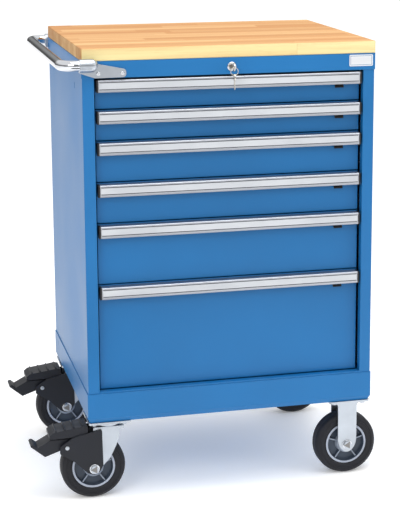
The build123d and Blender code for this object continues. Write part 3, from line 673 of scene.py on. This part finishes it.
class CABINET_OT_stage(CabinetStep, bpy.types.Operator):
    """Pale floor, soft lights, dark cards for the bright metal, and the camera"""
    bl_idname = "cabinet.stage"
    bl_label = "Stage"

    camera_place = Vector((-0.848, -3.890, 1.515))
    camera_turn = math.radians(14.78)
    camera_dip = math.radians(11.08)
    camera_lens = 109.8
    camera_shift = (-0.099, -0.150)
    floor_size = 60.0

    def floor(self):
        clear_selection()
        bpy.ops.mesh.primitive_plane_add(size=self.floor_size, location=(0, 0, 0))
        ground = name_active("floor")
        material, tree, shader = new_material("pale floor", 0.8)
        coordinates = add_node(tree, "ShaderNodeTexCoord").outputs["Object"]
        drift = remap(tree, noise(tree, coordinates, 2.0, 3.0), 0.3, 0.7)
        feed(tree, shader.inputs["Base Color"],
             mix_colour(tree, drift, (0.96, 0.96, 0.96), (0.98, 0.98, 0.98)))
        shader.inputs["Emission Color"].default_value = (1.0, 1.0, 1.0, 1.0)
        shader.inputs["Emission Strength"].default_value = 0.20
        ground.data.materials.append(material)

    def card(self, name, centre, width, height, facing):
        """Dark card that only reflections see."""
        clear_selection()
        turn = Vector(facing).to_track_quat("Z", "Y").to_euler()
        bpy.ops.mesh.primitive_plane_add(size=1, location=centre, rotation=turn,
                                         scale=(width, height, 1))
        sheet = name_active(name)
        material, tree, shader = new_material(name + " finish", 0.9)
        feed(tree, shader.inputs["Base Color"], (0.02, 0.02, 0.025, 1.0))
        sheet.data.materials.append(material)
        sheet.visible_camera = False
        sheet.visible_shadow = False
        sheet.visible_diffuse = False

    def lamp(self, name, place, target, width, height, power):
        clear_selection()
        turn = (Vector(target) - Vector(place)).to_track_quat("-Z", "Y").to_euler()
        bpy.ops.object.light_add(type="AREA", location=place, rotation=turn)
        lamp = bpy.context.object
        lamp.name = name
        lamp.data.shape = "RECTANGLE"
        lamp.data.size = width
        lamp.data.size_y = height
        lamp.data.energy = power

    def world(self):
        world = bpy.data.worlds.new("studio")
        world.use_nodes = True
        tree = world.node_tree
        background = tree.nodes["Background"]
        background.inputs["Color"].default_value = (1.0, 1.0, 1.0, 1.0)
        split = add_node(tree, "ShaderNodeSeparateXYZ")
        feed(tree, split.inputs[0], add_node(tree, "ShaderNodeTexCoord").outputs["Generated"])
        glow = remap(tree, split.outputs["Z"], 0.08, 0.45, 0.10, 1.0)
        seen = add_node(tree, "ShaderNodeLightPath").outputs["Is Camera Ray"]
        feed(tree, background.inputs["Strength"], math_node(tree, "MAXIMUM", glow, seen))
        bpy.context.scene.world = world

    def camera(self):
        clear_selection()
        bpy.ops.object.camera_add(location=self.camera_place)
        camera = bpy.context.object
        camera.name = "camera"
        aim = Vector((math.sin(self.camera_turn) * math.cos(self.camera_dip),
                      math.cos(self.camera_turn) * math.cos(self.camera_dip),
                      -math.sin(self.camera_dip)))
        camera.rotation_euler = aim.to_track_quat("-Z", "Y").to_euler()
        camera.data.lens = self.camera_lens
        camera.data.shift_x, camera.data.shift_y = self.camera_shift
        bpy.context.scene.camera = camera

    def execute(self, context):
        self.floor()
        self.world()
        height = high_corner("worktop").z
        self.card("left card", (-3.2, -1.6, 1.4), 1.2, 2.6, (1, 0.4, 0))
        self.card("front card", (-0.5, -2.6, 1.75), 2.6, 1.7, (0, 1, 0))
        self.card("floor card", (-0.5, -1.45, 0.02), 1.6, 0.9, (0, 0, 1))
        self.lamp("key light", (-2.4, -3.4, 3.0), (0, 0, height * 0.6), 2.0, 2.0, 50)
        self.lamp("top light", (0.4, -0.6, 3.6), (0, 0, height), 2.6, 2.2, 60)
        self.lamp("right light", (3.0, -2.2, 1.8), (0.2, 0, height * 0.5), 1.4, 2.2, 14)
        self.camera()
        context.scene.view_settings.view_transform = "Standard"
        return {"FINISHED"}


class CABINET_OT_finishes(CabinetStep, bpy.types.Operator):
    """Mix every finish once, for the nodes and the trim to share"""
    bl_idname = "cabinet.finishes"
    bl_label = "Finishes"

    def execute(self, context):
        tint = colours()
        FINISHES.update({
            "blue": blue_paint(),
            "wood": block_wood(),
            "aluminium": metal("anodised aluminium", tint.aluminium, 0.42, 0.12, 0.06),
            "zinc": metal("bright zinc", tint.zinc, 0.30, 0.10, 0.18),
            "chrome": metal("chrome plate", (0.68, 0.70, 0.73), 0.07, 0.03, 0.04, 0.4 * MM),
            "nickel": metal("nickel key", (0.74, 0.71, 0.64), 0.22, 0.12, 0.15, 0.3 * MM),
            "plug": metal("lock plug steel", (0.26, 0.25, 0.24), 0.36, 0.15, 0.2, 0.3 * MM),
            "slide": galvanised(),
            "brake": coated("black brake coat", tint.brake, 0.42),
            "plastic": coated("black plastic", (0.014, 0.014, 0.016), 0.48, 1200.0, 0.15),
            # Pale rim and lighter hub: painted-lit tones of the dark wheel core.
            "core": coated("wheel core", tint.core, 0.38, 600.0, 0.3),
            "core rim painted lit": coated("pale core rim painted lit", (0.36, 0.40, 0.48), 0.34, 600.0, 0.25),
            "core hub painted lit": coated("core hub painted lit", (0.26, 0.30, 0.37), 0.34, 600.0, 0.25),
            "rubber": tyre_rubber(),
            "plate": name_plate(),
            "card": label_card(),
            # Dark edge finish for the label strips: a painted shadow of the pull's lips.
            "painted lip shadow": coated("painted lip shadow", (0.06, 0.065, 0.075), 0.5, 1200.0, 0.1),
        })
        return {"FINISHED"}


class CABINET_OT_housing(CabinetStep, bpy.types.Operator):
    """Paint the housing and plinth, and lacquer the block top"""
    bl_idname = "cabinet.housing"
    bl_label = "Housing"

    def execute(self, context):
        for node in ("top_cover", "left_side_panel", "right_side_panel", "back_panel",
                     "bottom_panel", "mobile_base"):
            dress(node, "blue")
        dress("worktop", "wood")
        for node in ("slide_uprights", "cabinet_rails", "lock_bar"):
            dress(node, "slide")
        dress("badge_plate", "plate")
        return {"FINISHED"}


class CABINET_OT_drawers(CabinetStep, bpy.types.Operator):
    """Paint the drawers, and finish their pulls, caps, latches and slides"""
    bl_idname = "cabinet.drawers"
    bl_label = "Drawers"

    cap_width = 4 * MM
    cap_line = 0.01 * MM

    def execute(self, context):
        for number in DRAWERS:
            name = f"drawer_{number}_"
            dress(name + "tray", "blue")
            dress(name + "latch", "plastic")
            dress(name + "carriages", "slide")
            dress(name + "handle", "aluminium", "plastic")
            low = low_corner(name + "handle").x + self.cap_width + self.cap_line
            high = high_corner(name + "handle").x - self.cap_width - self.cap_line
            split_faces(name + "handle", lambda place, normal: int(not low < place.x < high))
        return {"FINISHED"}


class CABINET_OT_fittings(CabinetStep, bpy.types.Operator):
    """Plate the lock, keys, push handle and its screws"""
    bl_idname = "cabinet.fittings"
    bl_label = "Lock and push handle"

    def execute(self, context):
        for node in ("lock_cylinder", "push_handle_tube", "bracket_screws"):
            dress(node, "chrome")
        dress("lock_plug", "plug")
        for node in ("key", "spare_key"):
            dress(node, "nickel")
        dress("push_handle_brackets", "zinc")
        return {"FINISHED"}


class CABINET_OT_casters(CabinetStep, bpy.types.Operator):
    """Finish the plates, forks, brakes, tyres and wheel cores"""
    bl_idname = "cabinet.casters"
    bl_label = "Casters"

    rim_lip = 5.2 * MM
    hub_reach = 27 * MM
    web_reach = 10.5 * MM
    bolt_reach = 5.5 * MM

    def bolt_slots(self, node, corners):
        """Bright plate, with the ends of the axle bolts in a darker finish."""
        dress(node, "zinc", "plug")
        axles = [wheel_middle(corner) for corner in corners]

        def slot(place, normal):
            axle = min(axles, key=lambda middle: (middle - place).length)
            radius = math.hypot(place.x - axle.x, place.z - axle.z)
            return int(radius < self.bolt_reach)

        split_faces(node, slot)

    def core_lit_and_shaded_slots(self, corner):
        """Dark web, a pale rim ring, and a lighter hub and ribs: the rim, hub and rib faces are
        painted as lit, paler tones of the core's own coat against the dark web.
        """
        node = "wheel_core_" + corner
        axle = wheel_middle(corner)
        rim_radius = (high_corner(node).z - low_corner(node).z) / 2
        dress(node, "core", "core rim painted lit", "core hub painted lit")

        # Proud rim, hub and rib faces take the painted-lit tones; the recessed web keeps the
        # core's dark colour.
        def slot(place, normal):
            radius = math.hypot(place.x - axle.x, place.z - axle.z)
            if radius > rim_radius - self.rim_lip:
                return 1
            on_rib = abs(normal.y) > 0.9 and abs(place.y - axle.y) > self.web_reach
            return 2 if on_rib or radius < self.hub_reach else 0

        split_faces(node, slot)

    def execute(self, context):
        for node in ("swivel_plates", "caster_bolts"):
            dress(node, "zinc")
        self.bolt_slots("rigid_forks", RIGID_CORNERS)
        for corner in SWIVEL_CORNERS:
            self.bolt_slots("swivel_fork_" + corner, (corner,))
            dress("brake_housing_" + corner, "brake")
            dress("brake_pedal_" + corner, "brake")
        for corner in CORNERS:
            dress("tyre_" + corner, "rubber")
            self.core_lit_and_shaded_slots(corner)
        return {"FINISHED"}


class CABINET_OT_labels(CabinetStep, bpy.types.Operator):
    """Card strip behind the lips of each drawer's pull, with a painted shadow of the lips along
    its long edges
    """
    bl_idname = "cabinet.labels"
    bl_label = "Label strips"

    lip_top = 4.9 * MM
    lip_low = 6.4 * MM
    face_depth = 1.2 * MM
    seat = 0.1 * MM
    lip_shadow_width = 1.6 * MM
    crown = 0.3 * MM

    def strip(self, name, place):
        """Strip for any drawer, since every pull has the same length and height."""
        given = sizes()
        low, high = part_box("drawer_1_handle")
        half_length = (high[0] - low[0]) / 2 - given.label_margin
        height = high[2] - low[2] - self.lip_top - self.lip_low
        strip = start_box(name, place - Vector((half_length, given.label_thickness, 0)),
                          place + Vector((half_length, self.seat, height)))
        pick_faces(strip, lambda spot, normal: normal.y < -0.9)
        bpy.ops.mesh.inset(thickness=self.lip_shadow_width, depth=0)
        bpy.ops.transform.translate(value=(0, -self.crown, 0))
        leave_edit()
        strip.data.materials.append(finish("card"))
        strip.data.materials.append(finish("painted lip shadow"))
        # Faces near the strip's top and bottom take the dark second slot: a painted shadow of
        # the pull's lips on the card.
        border = self.lip_shadow_width * 0.9
        for polygon in strip.data.polygons:
            rise = polygon.center.z - place.z
            polygon.material_index = int(not border < rise < height - border)
        soften(strip, 0.12 * MM)
        return strip

    def execute(self, context):
        spots = []
        for number in DRAWERS:
            pull = f"drawer_{number}_handle"
            low = low_corner(pull)
            place = Vector((middle(pull).x, low.y + self.face_depth, low.z + self.lip_low))
            spots.append((f"label_strip_{number}", place, f"drawer_{number}"))
        for piece, body in repeated(spots, self.strip):
            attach(piece, body)
        return {"FINISHED"}


class CABINET_OT_hood_ribs(CabinetStep, bpy.types.Operator):
    """Raised ribs across the top of each brake hood"""
    bl_idname = "cabinet.hood_ribs"
    bl_label = "Hood ribs"

    places = (-92 * MM, -70 * MM, -48 * MM, -27 * MM)
    width = 5 * MM
    height = 3.2 * MM
    root = 1 * MM
    end_gap = 5 * MM
    taper = (0.6, 0.94, 1)
    rear_edge = -24 * MM
    hood_length = 74 * MM
    hood_fall = 10 * MM

    def rib(self, name, place):
        low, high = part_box("brake_housing_front_left")
        half = Vector((self.width / 2, (high[1] - low[1]) / 2 - self.end_gap, 0))
        rib = start_box(name, place - half - Vector((0, 0, self.root)),
                        place + half + Vector((0, 0, self.height)))
        pick_faces(rib, lambda spot, normal: normal.z > 0.9)
        bpy.ops.transform.resize(value=self.taper)
        leave_edit()
        soften(rib, 0.6 * MM)
        return rib

    def execute(self, context):
        slope = self.hood_fall / self.hood_length
        spots = []
        for corner in SWIVEL_CORNERS:
            axle = wheel_middle(corner)
            top = high_corner("brake_housing_" + corner).z
            for number, x in enumerate(self.places, 1):
                fall = (self.rear_edge - x) * slope
                spots.append((f"hood_rib_{corner}_{number}",
                              Vector((axle.x + x, axle.y, top - fall)), "caster_" + corner))
        for piece, body in repeated(spots, self.rib):
            finish_piece(piece, "brake", body)
        return {"FINISHED"}


class CABINET_OT_pedal_rivets(CabinetStep, bpy.types.Operator):
    """Domed heads on the ends of each brake pedal's pin"""
    bl_idname = "cabinet.pedal_rivets"
    bl_label = "Pedal rivets"

    height = 2.2 * MM
    rim_share = 0.3
    crown = 0.4 * MM

    def head(self, name, place, outward):
        radius = sizes().rivet_radius
        head = start_disc(name, place, radius, self.height, 24)
        pick_faces(head, lambda spot, normal: normal.y * outward > 0.9)
        bpy.ops.mesh.inset(thickness=radius * self.rim_share, depth=0)
        bpy.ops.transform.translate(value=(0, outward * self.crown, 0))
        leave_edit()
        soften(head, 0.7 * MM, 3)
        return head

    def execute(self, context):
        pins = {joint["name"]: Vector(joint["pos_m"]) for joint in frame["joints"]
                if "pos_m" in joint}
        for side, outward in SIDES:
            spots = []
            for corner in SWIVEL_CORNERS:
                low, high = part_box("brake_housing_" + corner)
                pin = pins[f"brake_pedal_{corner}_press"]
                wall_y = low[1] if outward < 0 else high[1]
                spots.append((f"pedal_rivet_{corner}_{side}",
                              Vector((pin.x, wall_y + outward * self.height / 2, pin.z)),
                              "pedal_" + corner))
            model = functools.partial(self.head, outward=outward)
            for piece, body in repeated(spots, model):
                finish_piece(piece, "zinc", body)
        return {"FINISHED"}


class CABINET_OT_axle_washers(CabinetStep, bpy.types.Operator):
    """Flat washers under the heads and nuts of the axle bolts"""
    bl_idname = "cabinet.axle_washers"
    bl_label = "Axle washers"

    rigid_fork_wall = 31 * MM
    rim_width = 1.0 * MM
    face_rise = 0.2 * MM

    def washer(self, name, place, outward):
        given = sizes()
        washer = start_disc(name, place, given.washer_radius, given.washer_thickness, 40)
        pick_faces(washer, lambda spot, normal: normal.y * outward > 0.9)
        bpy.ops.mesh.inset(thickness=self.rim_width, depth=0)
        bpy.ops.transform.translate(value=(0, outward * self.face_rise, 0))
        leave_edit()
        soften(washer, 0.25 * MM)
        return washer

    def execute(self, context):
        thickness = sizes().washer_thickness
        for side, outward in SIDES:
            spots = []
            for corner in CORNERS:
                axle = wheel_middle(corner)
                reach = self.rigid_fork_wall
                body = "root"
                if corner in SWIVEL_CORNERS:
                    low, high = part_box("brake_housing_" + corner)
                    reach = (high[1] - low[1]) / 2
                    body = "caster_" + corner
                y = axle.y + outward * (reach + thickness / 2)
                spots.append((f"axle_washer_{corner}_{side}", Vector((axle.x, y, axle.z)), body))
            model = functools.partial(self.washer, outward=outward)
            for piece, body in repeated(spots, model):
                finish_piece(piece, "chrome", body)
        return {"FINISHED"}


class CABINET_OT_tyre_ridges(CabinetStep, bpy.types.Operator):
    """Moulded ridge round each wall of each tyre"""
    bl_idname = "cabinet.tyre_ridges"
    bl_label = "Tyre ridges"

    ridge_height = 0.9 * MM
    flatness = 0.7
    wall_inset = 0.2 * MM

    def ridge(self, name, place):
        clear_selection()
        bpy.ops.mesh.primitive_torus_add(
            major_segments=72, minor_segments=8, major_radius=sizes().ridge_radius,
            minor_radius=self.ridge_height, location=place, rotation=(math.pi / 2, 0, 0))
        ridge = name_active(name)
        bpy.ops.object.mode_set(mode="EDIT")
        bpy.ops.mesh.select_all(action="SELECT")
        bpy.ops.transform.resize(value=(1, self.flatness, 1))
        leave_edit()
        bpy.ops.object.shade_smooth()
        return ridge

    def execute(self, context):
        spots = []
        for corner in CORNERS:
            low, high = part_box("tyre_" + corner)
            axle = wheel_middle(corner)
            for side, outward in SIDES:
                wall_y = low[1] if outward < 0 else high[1]
                spots.append((f"tyre_ridge_{corner}_{side}",
                              Vector((axle.x, wall_y - outward * self.wall_inset, axle.z)),
                              "wheel_" + corner))
        for piece, body in repeated(spots, self.ridge):
            finish_piece(piece, "rubber", body)
        return {"FINISHED"}


class CABINET_OT_back_rivets(CabinetStep, bpy.types.Operator):
    """Blind rivets that hold the back panel to the housing's flanges"""
    bl_idname = "cabinet.back_rivets"
    bl_label = "Back rivets"

    edge_inset = 12 * MM
    end_inset = 40 * MM
    per_side = 7
    height = 1.2 * MM
    seat = 0.1 * MM
    rim_share = 0.45
    hollow = 0.3 * MM

    def head(self, name, place):
        radius = sizes().back_rivet_radius
        head = start_disc(name, place, radius, self.height, 20)
        pick_faces(head, lambda spot, normal: normal.y > 0.9)
        bpy.ops.mesh.inset(thickness=radius * self.rim_share, depth=0)
        bpy.ops.transform.translate(value=(0, -self.hollow, 0))
        leave_edit()
        soften(head, 0.3 * MM)
        return head

    def execute(self, context):
        low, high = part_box("back_panel")
        rows = {
            "left": low_corner("left_side_panel").x + self.edge_inset,
            "right": high_corner("right_side_panel").x - self.edge_inset,
        }
        y = high_corner("left_side_panel").y + self.height / 2 - self.seat
        step = (high[2] - low[2] - 2 * self.end_inset) / (self.per_side - 1)
        spots = []
        for side, x in rows.items():
            for row in range(self.per_side):
                z = low[2] + self.end_inset + row * step
                spots.append((f"back_rivet_{side}_{row + 1}", Vector((x, y, z)), "root"))
        for piece, body in repeated(spots, self.head):
            finish_piece(piece, "zinc", body)
        return {"FINISHED"}


class CABINET_PT_sidebar(bpy.types.Panel):
    """The cabinet's steps, sizes and colours in the sidebar"""
    bl_idname = "CABINET_PT_sidebar"
    bl_label = "Mobile drawer cabinet"
    bl_space_type = "VIEW_3D"
    bl_region_type = "UI"
    bl_category = "Cabinet"

    def draw(self, context):
        for step in STEPS:
            self.layout.operator(step.bl_idname)
        for settings in (context.scene.cabinet_sizes, context.scene.cabinet_colours):
            for name in settings.bl_rna.properties.keys():
                if name not in ("rna_type", "name"):
                    self.layout.prop(settings, name)


STEPS = (
    CABINET_OT_stage,
    CABINET_OT_finishes,
    CABINET_OT_housing,
    CABINET_OT_drawers,
    CABINET_OT_fittings,
    CABINET_OT_casters,
    CABINET_OT_labels,
    CABINET_OT_hood_ribs,
    CABINET_OT_pedal_rivets,
    CABINET_OT_axle_washers,
    CABINET_OT_tyre_ridges,
    CABINET_OT_back_rivets,
)
CLASSES = (CabinetSizes, CabinetColours) + STEPS + (CABINET_PT_sidebar,)


def register():
    for item in CLASSES:
        bpy.utils.register_class(item)
    bpy.types.Scene.cabinet_sizes = bpy.props.PointerProperty(type=CabinetSizes)
    bpy.types.Scene.cabinet_colours = bpy.props.PointerProperty(type=CabinetColours)


def unregister():
    del bpy.types.Scene.cabinet_colours
    del bpy.types.Scene.cabinet_sizes
    for item in reversed(CLASSES):
        bpy.utils.unregister_class(item)


def main():
    register()
    bpy.ops.cabinet.stage()
    bpy.ops.cabinet.finishes()
    bpy.ops.cabinet.housing()
    bpy.ops.cabinet.drawers()
    bpy.ops.cabinet.fittings()
    bpy.ops.cabinet.casters()
    bpy.ops.cabinet.labels()
    bpy.ops.cabinet.hood_ribs()
    bpy.ops.cabinet.pedal_rivets()
    bpy.ops.cabinet.axle_washers()
    bpy.ops.cabinet.tyre_ridges()
    bpy.ops.cabinet.back_rivets()
    clear_selection()


if __name__ == "__main__":
    main()
